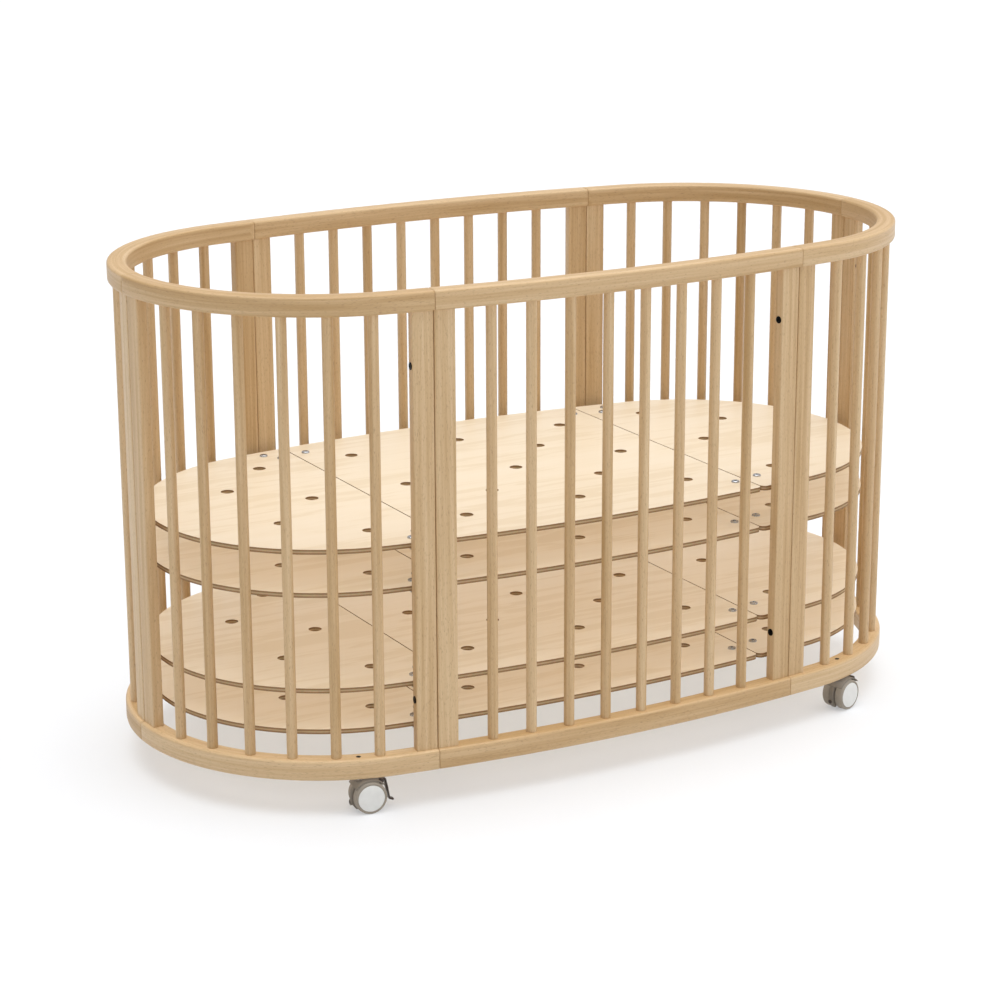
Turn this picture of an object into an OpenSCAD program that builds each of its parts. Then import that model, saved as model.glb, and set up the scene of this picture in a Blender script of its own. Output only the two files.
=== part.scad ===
// Oval baby crib: six slatted panels bolted in a ring, ply bases, four braked twin-wheel casters.
// Right-hand modules are drawn once for the front right corner and mirrored to the other three.

/* [Overall] */
// Length over the rails
crib_length = 1400; // [1370:1:1430]
// Width over the rails
crib_width = 741; // [732:0.5:750]
// Height of the top rail above the floor
crib_height = 828; // [800:1:860]
// Turn of a side arc from its middle to where the end arc starts, degrees
side_turn = 8.42; // [8.2:0.01:8.6]
// Distance from the middle of a side panel to its joint
joint_x = 334.6; // [330:0.1:338]
// Gap left in a joint between two panels
joint_gap = 0.6; // [0.4:0.1:1.2]

/* [Rails] */
// Width of both rails
rail_width = 32; // [30:0.5:34]
// Height of the top rail
top_rail_height = 31; // [28:0.5:34]
// Height of the bottom rail
bottom_rail_height = 33; // [30:0.5:36]
// Underside of the bottom rail above the floor
bottom_rail_z = 58.5; // [58:0.5:62]
// Rounding of the rail edges
rail_rounding = 4.5; // [3:0.5:6]

/* [Posts and spindles] */
// Width of a post along the rail
post_width = 35; // [32:1:37]
// Thickness of a post through the rail
post_thickness = 18; // [16:1:20]
// Rounding of the post edges
post_rounding = 2.5; // [1.5:0.5:3]
// Diameter of a spindle
spindle_diameter = 17; // [15:0.5:18]
// Depth of the blind socket that takes a spindle end
socket_depth = 12; // [8:1:15]
// Spindles in a side panel
side_spindles = 8; // [6:2:8]
// Pitch of the side panel spindles
side_pitch = 68; // [66:0.5:70]
// Spindles in a corner panel
corner_spindles = 6; // [5:1:6]
// Pitch of the corner panel spindles along the rail
corner_pitch = 69.1; // [68:0.1:70]
// First corner spindle from the end joint, along the rail
corner_start = 98.3; // [95:0.1:100]

/* [Mattress bases] */
// Top of the lowest base
base_top_1 = 129; // [127:1:132]
// Top of the second base
base_top_2 = 197; // [190:1:205]
// Top of the third base
base_top_3 = 354; // [345:1:360]
// Top of the highest base
base_top_4 = 424; // [415:1:435]
// Thickness of the ply
base_thickness = 8; // [6:0.5:9]
// Edge of a base inside the outer edge of the rail
base_inset = 43; // [40:0.5:46]
// Seam between the middle and the end of a base
seam_x = 295; // [290:1:298]
// Gap in the seam
seam_gap = 2; // [0.5:0.1:2]
// Rounding of the base corners at the seams
seam_rounding = 10; // [6:1:12]
// Diameter of a vent hole
vent_diameter = 22; // [18:1:26]
// Half the spacing of the vent rows
vent_pitch = 105; // [100:1:106]
// First vent column of the end sections
end_vent_x = 385; // [380:1:390]

/* [Bolts and brackets] */
// Height of the lower bolt in each joint
low_bolt_z = 175.5; // [168:0.5:180]
// Height of the upper bolt in each joint
high_bolt_z = 712; // [700:1:725]
// Diameter of the bolt shank
bolt_diameter = 6; // [5:0.5:7]
// Diameter of the bolt head
bolt_head = 12; // [11:0.5:14]
// Depth of the blind hole that takes the end of a bolt
insert_depth = 24; // [18:1:26]
// Width of a bracket or joining plate
bracket_width = 24; // [20:1:26]
// Thickness of the bracket steel
bracket_thickness = 2; // [1.5:0.1:2.5]
// Diameter of a base screw head
screw_head = 14; // [11:0.5:15]
// Diameter of a base screw shank
screw_diameter = 5; // [4:0.5:6]

/* [Casters] */
// Diameter of a wheel
wheel_diameter = 53; // [52.4:0.1:53.2]
// Width of one wheel with its cap
wheel_width = 14.3; // [13:0.1:14.6]
// Distance of the axle behind the stem
trail = 14; // [13.6:0.1:14.4]
// Diameter of the axle
axle_diameter = 5; // [4.5:0.1:5.5]
// Diameter of the pin a caster turns on
pin_diameter = 7; // [6:0.1:7.2]
// Radial play of every turning fit
play = 0.05; // [0.03:0.01:0.08]
// Trailing direction of the front left caster, degrees from the length
turn_front_left = -8.5; // [-180:0.5:180]
// Trailing direction of the front right caster
turn_front_right = 17.6; // [-180:0.5:180]
// Trailing direction of the back left caster
turn_back_left = 38; // [-180:0.5:180]
// Trailing direction of the back right caster
turn_back_right = -24; // [-180:0.5:180]

/* [Hidden] */
$fn = 64;

degrees = 180 / PI;
half_length = crib_length / 2;
half_width = crib_width / 2;
span = sin(side_turn) + cos(side_turn) - 1;
side_radius = (half_length * cos(side_turn) - half_width * (1 - sin(side_turn))) / span;
end_radius = (half_width * sin(side_turn) - half_length * (1 - cos(side_turn))) / span;
end_center = (side_radius - end_radius) * sin(side_turn);
side_center = (side_radius - end_radius) * cos(side_turn);

rail_mid = rail_width / 2;
side_line = side_radius - rail_mid;
end_line = end_radius - rail_mid;
end_arc = end_line * (90 - side_turn) / degrees;
joint_angle = asin(joint_x / side_line);
corner_length = end_arc + side_line * (side_turn - joint_angle) / degrees;
half_gap = joint_gap / 2;
post_step = half_gap + post_width / 2;
end_post_step = end_line * atan2(post_step, end_line - post_thickness / 2) / degrees;
post_depth = rail_mid + post_thickness / 2;
bottom_rail_top = bottom_rail_z + bottom_rail_height;
top_rail_z = crib_height - top_rail_height;
caster_step = corner_start + (corner_spindles - 1.5) * corner_pitch;
splice_slit = 0.04;

base_tops = [base_top_1, base_top_2, base_top_3, base_top_4];
post_screw = 43.8;
plate_out = [272, 265];
plate_in = [325, 251];
plate_turn = atan2(plate_in[1] - plate_out[1], plate_in[0] - plate_out[0]);
plate_length = norm(plate_in - plate_out) + bracket_width;

axle_z = wheel_diameter / 2;
web_thickness = 11;
wheel_start = web_thickness / 2 + 0.7;
hood_radius = axle_z + 2.8;
hood_width = 2 * (wheel_start + wheel_width) - 1;
bolt_seat = post_width + half_gap - 2.6;
hood_top = axle_z + hood_radius;
pedal_points = [[35, 48], [42.4, 49.2], [44.7, 37.2], [48.8, 15.8], [55.9, 13.1]];
pedal_width = 12;
pedal_thickness = 2.4;

// ---- shared shapes ----

module rounded_rect(w, h, r) {
    translate([r, 0]) square([w - 2 * r, h]);
    translate([0, r]) square([w, h - 2 * r]);
    for (x = [r, w - r], y = [r, h - r])
        translate([x, y]) circle(r = r, $fn = 64);
}

module domed_head(d, h) {
    ball = (d * d / 4 + h * h) / (2 * h);
    intersection() {
        translate([0, 0, h - ball]) sphere(r = ball);
        cylinder(d = d + 1, h = h);
    }
}

// Moves to a corner of the crib: x_side and y_side are 1 or -1, with the front at -1
module in_corner(x_side, y_side) {
    mirror([x_side < 0 ? 1 : 0, 0, 0])
        mirror([0, y_side > 0 ? 1 : 0, 0])
            children();
}

// Frames with x along the rail and y pointing inward, a depth inside the outer face
module on_side(angle, depth) {
    translate([0, side_center, 0])
        rotate(angle)
            translate([0, depth - side_radius, 0])
                children();
}

module on_end(angle, depth) {
    translate([end_center, 0, 0])
        rotate(90 - angle)
            translate([0, depth - end_radius, 0])
                children();
}

// The same at a distance along a corner panel from the end joint
module on_corner(s, depth) {
    if (s <= end_arc) {
        on_end(s / end_line * degrees, depth) children();
    } else {
        on_side(side_turn - (s - end_arc) / side_line * degrees, depth) children();
    }
}

// ---- rails ----

module at_side_spindles() {
    for (k = [0 : side_spindles - 1])
        on_side((k - (side_spindles - 1) / 2) * side_pitch / side_line * degrees, rail_mid)
            children();
}

module at_corner_spindles() {
    for (k = [0 : corner_spindles - 1])
        on_corner(corner_start + k * corner_pitch, rail_mid)
            children();
}

module socket(z) {
    translate([0, 0, z]) cylinder(d = spindle_diameter + 0.2, h = socket_depth + 1);
}

module rail_arc(radius, start, turn, z, h) {
    rotate(start)
        rotate_extrude(angle = turn, $fn = 1440)
            translate([radius - rail_width, z])
                rounded_rect(rail_width, h, rail_rounding);
}

module side_rail(z, h) {
    half_turn = joint_angle - half_gap / side_line * degrees;
    translate([0, side_center, 0])
        rail_arc(side_radius, -90 - half_turn, 2 * half_turn, z, h);
}

// A bent end piece and a nearly straight one, spliced by a core inside both
module corner_rail(z, h) {
    end_gap = half_gap / end_line * degrees;
    side_gap = half_gap / side_line * degrees;
    splice_gap = splice_slit / end_line * degrees;
    translate([end_center, 0, 0])
        rail_arc(end_radius, side_turn - 90 + splice_gap, 90 - side_turn - end_gap - splice_gap, z, h);
    translate([0, side_center, 0])
        rail_arc(side_radius, joint_angle + side_gap - 90, side_turn - joint_angle - side_gap, z, h);
    on_side(side_turn, rail_mid)
        translate([-8, -8, z + h / 2 - 8])
            cube(16);
}

module side_top_rail() {
    color("burlywood")
    difference() {
        side_rail(top_rail_z, top_rail_height);
        at_side_spindles() socket(top_rail_z - 1);
    }
}

module side_bottom_rail() {
    color("burlywood")
    difference() {
        side_rail(bottom_rail_z, bottom_rail_height);
        at_side_spindles() socket(bottom_rail_top - socket_depth);
    }
}

module corner_top_rail() {
    color("burlywood")
    difference() {
        corner_rail(top_rail_z, top_rail_height);
        at_corner_spindles() socket(top_rail_z - 1);
    }
}

module corner_bottom_rail() {
    color("burlywood")
    difference() {
        corner_rail(bottom_rail_z, bottom_rail_height);
        at_corner_spindles() socket(bottom_rail_top - socket_depth);
        on_corner(caster_step, rail_mid)
            translate([0, 0, bottom_rail_z - 1])
                cylinder(d = 8.4, h = bottom_rail_height + 2);
    }
}

// ---- posts and spindles ----

module post() {
    translate([-post_width / 2, -post_thickness / 2, bottom_rail_top])
        linear_extrude(top_rail_z - bottom_rail_top)
            rounded_rect(post_width, post_thickness, post_rounding);
}

// Holes in the post on one side of a joint, through to a sunk head or blind
module bolt_holes(way, has_head) {
    for (z = [low_bolt_z, high_bolt_z])
        translate([0, 0, z])
            rotate([0, 90 * way, 0]) {
                translate([0, 0, -1])
                    cylinder(d = bolt_diameter + 0.4, h = has_head ? post_width + 3 : insert_depth + 1);
                if (has_head) translate([0, 0, bolt_seat]) cylinder(d = bolt_head + 0.6, h = 8);
            }
}

module side_posts() {
    color("tan")
    difference() {
        for (way = [-1, 1])
            on_side(way * (joint_angle - post_step / side_line * degrees), rail_mid)
                post();
        on_side(-joint_angle, rail_mid) bolt_holes(1, false);
        on_side(joint_angle, rail_mid) bolt_holes(-1, true);
    }
}

module corner_posts(head_at_side) {
    color("tan")
    difference() {
        for (s = [end_post_step, corner_length - post_step])
            on_corner(s, rail_mid)
                post();
        on_side(joint_angle, rail_mid) bolt_holes(1, head_at_side);
        on_end(0, rail_mid) bolt_holes(-1, !head_at_side);
    }
}

module spindle() {
    floor_z = bottom_rail_top - socket_depth;
    translate([0, 0, floor_z])
        cylinder(d = spindle_diameter, h = top_rail_z + socket_depth - 0.5 - floor_z);
}

module side_spindles() {
    color("wheat") at_side_spindles() spindle();
}

module corner_spindles() {
    color("wheat") at_corner_spindles() spindle();
}

// ---- bases ----

// Places its children at every fixing of one base end section, at the front right
module at_post_screw() {
    on_corner(corner_length - post_step, post_depth + post_screw) children();
}

module at_all_corners() {
    for (x = [-1, 1], y = [-1, 1])
        in_corner(x, y) children();
}

module at_base_screws() {
    at_all_corners() {
        at_post_screw() children();
        translate([plate_out[0], -plate_out[1], 0]) children();
        translate([plate_in[0], -plate_in[1], 0]) children();
    }
}

module base_outline(top) {
    lower = top - base_thickness;
    tangent_x = (side_radius - base_inset) * sin(side_turn);
    intersection() {
        translate([0, side_center, lower])
            cylinder(r = side_radius - base_inset, h = base_thickness, $fn = 1440);
        translate([0, -side_center, lower])
            cylinder(r = side_radius - base_inset, h = base_thickness, $fn = 1440);
        translate([-tangent_x, -half_width, lower])
            cube([2 * tangent_x, crib_width, base_thickness]);
    }
    for (x = [-1, 1])
        translate([x * end_center, 0, lower])
            cylinder(r = end_radius - base_inset, h = base_thickness, $fn = 360);
}

// Rounds the front corner of a section that ends at x, the section lying on its way side
module seam_corner(x, way, top) {
    arc = side_radius - base_inset;
    cx = x + way * seam_rounding;
    cy = side_center - sqrt(pow(arc - seam_rounding, 2) - cx * cx);
    out = [cx, cy - side_center] / (arc - seam_rounding);
    difference() {
        translate([0, 0, top - base_thickness - 1])
            linear_extrude(base_thickness + 2)
                polygon([
                    [cx, cy],
                    [cx, cy] + 2 * seam_rounding * out,
                    [x - way * 2, cy - 2 * seam_rounding],
                    [x - way * 2, cy]
                ]);
        translate([cx, cy, top - base_thickness - 2])
            cylinder(r = seam_rounding, h = base_thickness + 4);
    }
}

module base_holes(top) {
    lower = top - base_thickness - 1;
    for (x = [-2 : 2 : 2], y = [-2 : 2 : 2])
        translate([x * vent_pitch, y * vent_pitch, lower])
            cylinder(d = vent_diameter, h = base_thickness + 2);
    for (x = [-1, 1], y = [-1, 1])
        translate([x * vent_pitch, y * vent_pitch, lower])
            cylinder(d = vent_diameter, h = base_thickness + 2);
    for (way = [-1, 1], v = [[0, -2], [0, 0], [0, 2], [1, -1], [1, 1]])
        translate([way * (end_vent_x + v[0] * vent_pitch), v[1] * vent_pitch, lower])
            cylinder(d = vent_diameter, h = base_thickness + 2);
    at_base_screws()
        translate([0, 0, lower])
            cylinder(d = screw_diameter + 0.4, h = base_thickness + 2);
}

module base_middle(top) {
    edge = seam_x - seam_gap / 2;
    color("bisque")
    difference() {
        intersection() {
            base_outline(top);
            translate([-edge, -half_width, top - base_thickness - 1])
                cube([2 * edge, crib_width, base_thickness + 2]);
        }
        base_holes(top);
        at_all_corners() seam_corner(edge, -1, top);
    }
}

module base_end(top, x_side) {
    edge = seam_x + seam_gap / 2;
    color("bisque")
    mirror([x_side < 0 ? 1 : 0, 0, 0])
    difference() {
        base_outline(top);
        translate([-half_length, -half_width, top - base_thickness - 1])
            cube([half_length + edge, crib_width, base_thickness + 2]);
        base_holes(top);
        for (y = [-1, 1])
            in_corner(1, y) seam_corner(edge, 1, top);
    }
}

// An angle under a base, screwed to the inner face of a post
module angle_bracket(top, reach) {
    lower = top - base_thickness;
    length = reach + bracket_width / 3;
    difference() {
        union() {
            translate([-bracket_width / 2, -reach, lower - bracket_thickness])
                cube([bracket_width, length, bracket_thickness]);
            translate([-bracket_width / 2, -reach, lower - 26])
                cube([bracket_width, bracket_thickness, 26]);
        }
        translate([0, 0, lower - 5]) cylinder(d = screw_diameter + 0.4, h = 6);
    }
}

module joining_plate(top) {
    lower = top - base_thickness - bracket_thickness;
    difference() {
        translate([(plate_out[0] + plate_in[0]) / 2, -(plate_out[1] + plate_in[1]) / 2, lower])
            rotate(-plate_turn)
                translate([-plate_length / 2, -bracket_width / 2, 0])
                    cube([plate_length, bracket_width, bracket_thickness]);
        for (p = [plate_out, plate_in])
            translate([p[0], -p[1], lower - 1])
                cylinder(d = screw_diameter + 0.4, h = bracket_thickness + 2);
    }
}

module base_brackets() {
    color("silver")
    for (top = base_tops)
        at_all_corners() {
            at_post_screw() angle_bracket(top, post_screw);
            joining_plate(top);
        }
}

module base_screws() {
    grip = base_thickness + bracket_thickness;
    color("silver")
    for (top = base_tops)
        at_base_screws()
            translate([0, 0, top]) {
                domed_head(screw_head, 3);
                translate([0, 0, -grip - 3]) cylinder(d = screw_diameter, h = grip + 4);
                translate([0, 0, -grip - 3]) cylinder(d = screw_diameter + 4, h = 3, $fn = 6);
            }
}

// ---- joint bolts ----

module joint_bolt() {
    rotate([0, 90, 0]) {
        translate([0, 0, -bolt_seat]) cylinder(d = bolt_diameter, h = bolt_seat + insert_depth - 1);
        difference() {
            translate([0, 0, -bolt_seat - 2.4]) cylinder(d = bolt_head, h = 2.4);
            translate([0, 0, -bolt_seat - 4]) cylinder(d = 5.8, h = 3.4, $fn = 6);
        }
    }
}

// Every head is on the side of the joint met first when going round from left to right at the front
module post_bolts() {
    color("dimgray")
    for (z = [low_bolt_z, high_bolt_z])
        translate([0, 0, z])
            for (turn = [0, 180])
                rotate(turn) {
                    on_side(-joint_angle, rail_mid) joint_bolt();
                    on_side(joint_angle, rail_mid) joint_bolt();
                    on_end(0, rail_mid) joint_bolt();
                }
}

// ---- casters, drawn with the stem on the z axis and the axle behind it along x ----

module at_caster(x_side, y_side, turn) {
    angle = caster_step / end_line * degrees;
    translate([
        x_side * (end_center + end_line * cos(angle)),
        y_side * end_line * sin(angle),
        0
    ])
        rotate(turn) children();
}

// Extrudes an xz outline across the caster
module across(width) {
    rotate([90, 0, 0]) linear_extrude(width, center = true) children();
}

module sector(radius, first, last) {
    translate([trail, axle_z])
        intersection() {
            circle(r = radius);
            polygon(concat([[0, 0]], [for (k = [0 : 5]) 60 * [
                cos(first + k * (last - first) / 5),
                sin(first + k * (last - first) / 5)
            ]]));
        }
}

module housing(x_side, y_side, turn) {
    pivot = pedal_points[0];
    color("rosybrown")
    at_caster(x_side, y_side, turn) {
        difference() {
            union() {
                across(web_thickness) {
                    sector(hood_radius, 35, 200);
                    translate([trail, axle_z]) circle(r = 8);
                }
                difference() {
                    across(hood_width) sector(hood_radius, 40, 145);
                    translate([trail, 0, axle_z])
                        rotate([90, 0, 0])
                            cylinder(r = axle_z + 0.8, h = 60, center = true);
                }
                translate([0, 0, 28]) cylinder(d = web_thickness, h = hood_top - 28);
                translate([0, 0, hood_top - 2.3]) cylinder(d = 20, h = 2.3);
                difference() {
                    across(2 * pedal_width - 4) translate(pivot) circle(r = 4);
                    translate([trail, 0, axle_z])
                        rotate([90, 0, 0])
                            cylinder(r = axle_z + 0.8, h = 60, center = true);
                }
            }
            translate([0, 0, 30]) cylinder(d = pin_diameter + 2 * play, h = 40);
            across(60) translate([trail, axle_z]) circle(d = axle_diameter + 2 * play);
            across(pedal_width + 1.2) translate(pivot) circle(r = 5);
        }
        across(2 * pedal_width - 5) translate(pivot) circle(d = 3);
    }
}

module axle(x_side, y_side, turn) {
    color("silver")
    at_caster(x_side, y_side, turn)
        across(2 * (wheel_start + wheel_width) - 7)
            translate([trail, axle_z]) circle(d = axle_diameter);
}

function heading(i) = atan2(
    pedal_points[i + 1][1] - pedal_points[i][1],
    pedal_points[i + 1][0] - pedal_points[i][0]
);

// A point of the pedal's outline, mitred beside its centre line on one side
function pedal_edge(i, side) =
    let(
        last = len(pedal_points) - 1,
        before = heading(max(i - 1, 0)),
        after = heading(min(i, last - 1)),
        middle = (before + after) / 2 + 90,
        reach = side * pedal_thickness / 2 / cos((after - before) / 2)
    )
    pedal_points[i] + reach * [cos(middle), sin(middle)];

module pedal(x_side, y_side, turn) {
    pivot = pedal_points[0];
    last = len(pedal_points) - 1;
    color("saddlebrown")
    at_caster(x_side, y_side, turn)
        across(pedal_width)
            difference() {
                union() {
                    translate(pivot) circle(r = 2.9);
                    polygon(concat(
                        [for (i = [0 : last]) pedal_edge(i, 1)],
                        [for (i = [last : -1 : 0]) pedal_edge(i, -1)]
                    ));
                }
                translate(pivot) circle(d = 3 + 2 * play);
            }
}

// side is -1 or 1 across the caster
module wheel(x_side, y_side, turn, side) {
    color("gray")
    at_caster(x_side, y_side, turn)
        translate([trail, side * wheel_start, axle_z])
            rotate([-90 * side, 0, 0])
                difference() {
                    rotate_extrude() {
                        square([axle_z, wheel_width - 3]);
                        square([axle_z - 3, wheel_width]);
                        translate([axle_z - 3, wheel_width - 3]) circle(r = 3);
                    }
                    rotate_extrude()
                        translate([axle_z - 4.4, wheel_width - 0.8]) square([0.8, 2]);
                    translate([0, 0, -1])
                        cylinder(d = axle_diameter + 2 * play, h = wheel_width - 2);
                }
}

module caster_stems() {
    collar_z = hood_top + 0.3;
    color("silver")
    for (x = [-1, 1], y = [-1, 1])
        at_caster(x, y, 0) {
            translate([0, 0, 31]) cylinder(d = pin_diameter, h = bottom_rail_z - 31);
            translate([0, 0, collar_z]) cylinder(d = 16, h = bottom_rail_z - collar_z);
            translate([0, 0, bottom_rail_z]) cylinder(d = 8, h = bottom_rail_height - 1.5);
        }
}

// ---- nodes ----

side_top_rail();  // front_top_rail
side_bottom_rail();  // front_bottom_rail
side_posts();  // front_posts
side_spindles();  // front_spindles
in_corner(1, 1) side_top_rail();  // back_top_rail
in_corner(1, 1) side_bottom_rail();  // back_bottom_rail
rotate(180) side_posts();  // back_posts
in_corner(1, 1) side_spindles();  // back_spindles
corner_top_rail();  // front_right_top_rail
corner_bottom_rail();  // front_right_bottom_rail
corner_posts(false);  // front_right_posts
corner_spindles();  // front_right_spindles
in_corner(-1, -1) corner_top_rail();  // front_left_top_rail
in_corner(-1, -1) corner_bottom_rail();  // front_left_bottom_rail
in_corner(-1, -1) corner_posts(true);  // front_left_posts
in_corner(-1, -1) corner_spindles();  // front_left_spindles
in_corner(1, 1) corner_top_rail();  // back_right_top_rail
in_corner(1, 1) corner_bottom_rail();  // back_right_bottom_rail
in_corner(1, 1) corner_posts(true);  // back_right_posts
in_corner(1, 1) corner_spindles();  // back_right_spindles
in_corner(-1, 1) corner_top_rail();  // back_left_top_rail
in_corner(-1, 1) corner_bottom_rail();  // back_left_bottom_rail
in_corner(-1, 1) corner_posts(false);  // back_left_posts
in_corner(-1, 1) corner_spindles();  // back_left_spindles
base_middle(base_top_1);  // base_1_middle
base_end(base_top_1, 1);  // base_1_right
base_end(base_top_1, -1);  // base_1_left
base_middle(base_top_2);  // base_2_middle
base_end(base_top_2, 1);  // base_2_right
base_end(base_top_2, -1);  // base_2_left
base_middle(base_top_3);  // base_3_middle
base_end(base_top_3, 1);  // base_3_right
base_end(base_top_3, -1);  // base_3_left
base_middle(base_top_4);  // base_4_middle
base_end(base_top_4, 1);  // base_4_right
base_end(base_top_4, -1);  // base_4_left
base_brackets();
base_screws();
post_bolts();
caster_stems();
housing(-1, -1, turn_front_left);  // front_left_housing
axle(-1, -1, turn_front_left);  // front_left_axle
pedal(-1, -1, turn_front_left);  // front_left_pedal
wheel(-1, -1, turn_front_left, -1);  // front_left_wheel_a
wheel(-1, -1, turn_front_left, 1);  // front_left_wheel_b
housing(1, -1, turn_front_right);  // front_right_housing
axle(1, -1, turn_front_right);  // front_right_axle
pedal(1, -1, turn_front_right);  // front_right_pedal
wheel(1, -1, turn_front_right, -1);  // front_right_wheel_a
wheel(1, -1, turn_front_right, 1);  // front_right_wheel_b
housing(-1, 1, turn_back_left);  // back_left_housing
axle(-1, 1, turn_back_left);  // back_left_axle
pedal(-1, 1, turn_back_left);  // back_left_pedal
wheel(-1, 1, turn_back_left, -1);  // back_left_wheel_a
wheel(-1, 1, turn_back_left, 1);  // back_left_wheel_b
housing(1, 1, turn_back_right);  // back_right_housing
axle(1, 1, turn_back_right);  // back_right_axle
pedal(1, 1, turn_back_right);  // back_right_pedal
wheel(1, 1, turn_back_right, -1);  // back_right_wheel_a
wheel(1, 1, turn_back_right, 1);  // back_right_wheel_b
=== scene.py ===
import math
import random

import bpy
from mathutils import Matrix, Vector


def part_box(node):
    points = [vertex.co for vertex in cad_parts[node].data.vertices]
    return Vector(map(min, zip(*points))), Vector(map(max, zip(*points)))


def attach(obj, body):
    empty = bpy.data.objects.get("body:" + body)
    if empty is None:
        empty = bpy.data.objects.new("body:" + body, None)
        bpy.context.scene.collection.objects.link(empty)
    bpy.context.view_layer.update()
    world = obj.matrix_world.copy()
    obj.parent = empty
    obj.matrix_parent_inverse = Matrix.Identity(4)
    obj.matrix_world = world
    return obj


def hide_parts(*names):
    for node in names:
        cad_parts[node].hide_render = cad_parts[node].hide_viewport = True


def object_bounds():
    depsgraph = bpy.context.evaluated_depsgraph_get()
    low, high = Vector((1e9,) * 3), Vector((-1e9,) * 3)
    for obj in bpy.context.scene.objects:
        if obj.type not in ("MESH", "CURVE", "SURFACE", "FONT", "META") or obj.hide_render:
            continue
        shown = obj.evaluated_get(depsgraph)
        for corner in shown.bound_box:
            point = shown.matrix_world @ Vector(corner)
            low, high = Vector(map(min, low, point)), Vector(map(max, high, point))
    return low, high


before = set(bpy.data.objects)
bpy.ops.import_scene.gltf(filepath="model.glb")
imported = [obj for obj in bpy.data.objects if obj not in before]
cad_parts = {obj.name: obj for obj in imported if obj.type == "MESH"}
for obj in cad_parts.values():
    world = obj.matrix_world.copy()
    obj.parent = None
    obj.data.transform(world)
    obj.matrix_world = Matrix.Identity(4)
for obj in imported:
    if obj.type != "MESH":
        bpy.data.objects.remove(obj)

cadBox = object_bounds()
print("frame loaded")

# what every piece shares
crib = {
    "sideTurn": math.radians(8.42),  # turn of a side arc from its middle to the end arc
    "jointX": 0.3346,  # middle of a side panel to its joint
    "gap": 0.0003,  # half the gap left in a joint
    "seamReach": 0.002,  # grain past a joint by this much still follows the side panel
    "railWidth": 0.032,
    "topRail": (0.797, 0.031),  # underside and height
    "bottomRail": (0.0585, 0.033),
}

halfLength, halfWidth = cadBox[1][0], cadBox[1][1]
sinTurn, cosTurn = math.sin(crib["sideTurn"]), math.cos(crib["sideTurn"])
span = sinTurn + cosTurn - 1
sideRadius = (halfLength * cosTurn - halfWidth * (1 - sinTurn)) / span
endRadius = (halfWidth * sinTurn - halfLength * (1 - cosTurn)) / span
endCentre = (sideRadius - endRadius) * sinTurn
sideCentre = (sideRadius - endRadius) * cosTurn
railMid = crib["railWidth"] / 2
sideLine, endLine = sideRadius - railMid, endRadius - railMid
endArc = endLine * (math.pi / 2 - crib["sideTurn"])
jointAngle = math.asin(crib["jointX"] / sideLine)
cornerLength = endArc + sideLine * (crib["sideTurn"] - jointAngle)
corners = {"front_right": (1, -1), "front_left": (-1, -1), "back_right": (1, 1), "back_left": (-1, 1)}
chance = random.Random(8)


def onSide(angle):
    # spot and heading on the front side arc, x along the rail
    return Vector((sideLine * math.sin(angle), sideCentre - sideLine * math.cos(angle), 0)), angle


def onEnd(angle, ySide):
    # spot on the right end arc, in front of the long middle line or behind it
    return Vector((endCentre + endLine * math.cos(angle), ySide * endLine * math.sin(angle), 0))


def onCorner(s):
    # spot and heading at a distance along the front right corner panel from its end joint
    if s > endArc:
        return onSide(crib["sideTurn"] - (s - endArc) / sideLine)
    angle = s / endLine
    return onEnd(angle, -1), math.pi / 2 - angle


def alongRail(point):
    # distance along the panel and depth from its outer face
    x, y = abs(point.x), abs(point.y)
    angle = math.atan2(y, x - endCentre)
    if x > endCentre and angle < math.pi / 2 - crib["sideTurn"]:
        return angle * endLine, endRadius - math.hypot(x - endCentre, y)
    turn = math.atan2(point.x, y + sideCentre)
    depth = sideRadius - math.hypot(x, y + sideCentre)
    if x < crib["jointX"] + crib["seamReach"]:
        return turn * sideLine, depth
    return endArc + (crib["sideTurn"] - abs(turn)) * sideLine, depth


def deselectAll():
    if bpy.context.mode != "OBJECT":
        bpy.ops.object.mode_set(mode="OBJECT")
    bpy.ops.object.select_all(action="DESELECT")


def selectOnly(piece):
    deselectAll()
    piece.select_set(True)
    bpy.context.view_layer.objects.active = piece


def made(name, scale):
    # sizes and names the new primitive and puts its place into its mesh
    piece = bpy.context.active_object
    piece.scale = scale
    piece.name = piece.data.name = name
    bpy.ops.object.transform_apply(location=True, rotation=True, scale=True)
    return piece


def pick(piece, kind, test):
    # selects the elements that pass, then goes into edit mode
    bpy.ops.object.mode_set(mode="EDIT")
    bpy.ops.mesh.select_mode(type=kind)
    bpy.ops.mesh.select_all(action="DESELECT")
    bpy.ops.object.mode_set(mode="OBJECT")
    mesh = piece.data
    if kind == "EDGE":
        for edge in mesh.edges:
            a, b = (mesh.vertices[v].co for v in edge.vertices)
            edge.select = test(a, b)
    elif kind == "FACE":
        for face in mesh.polygons:
            face.select = test(face)
    else:
        for vertex in mesh.vertices:
            vertex.select = test(vertex.co)
    bpy.ops.object.mode_set(mode="EDIT")


def leave():
    bpy.ops.object.mode_set(mode="OBJECT")


def recalculate(piece):
    pick(piece, "FACE", lambda face: True)
    bpy.ops.mesh.remove_doubles(threshold=0.000005)  # closes the seam of a full or poled sweep
    bpy.ops.mesh.normals_make_consistent(inside=False)
    leave()


def applyModifier(piece, kind, settings):
    selectOnly(piece)
    modifier = piece.modifiers.new("shaping", kind)
    for key, value in settings.items():
        setattr(modifier, key, value)
    bpy.ops.object.modifier_apply(modifier=modifier.name)


def roundEdges(piece, offset, steps, limit=40):
    applyModifier(piece, "BEVEL", {"width": offset, "segments": steps, "limit_method": "ANGLE",
                                   "angle_limit": math.radians(limit)})


def thicken(piece, thickness):
    applyModifier(piece, "SOLIDIFY", {"thickness": thickness, "offset": 0})


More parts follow.
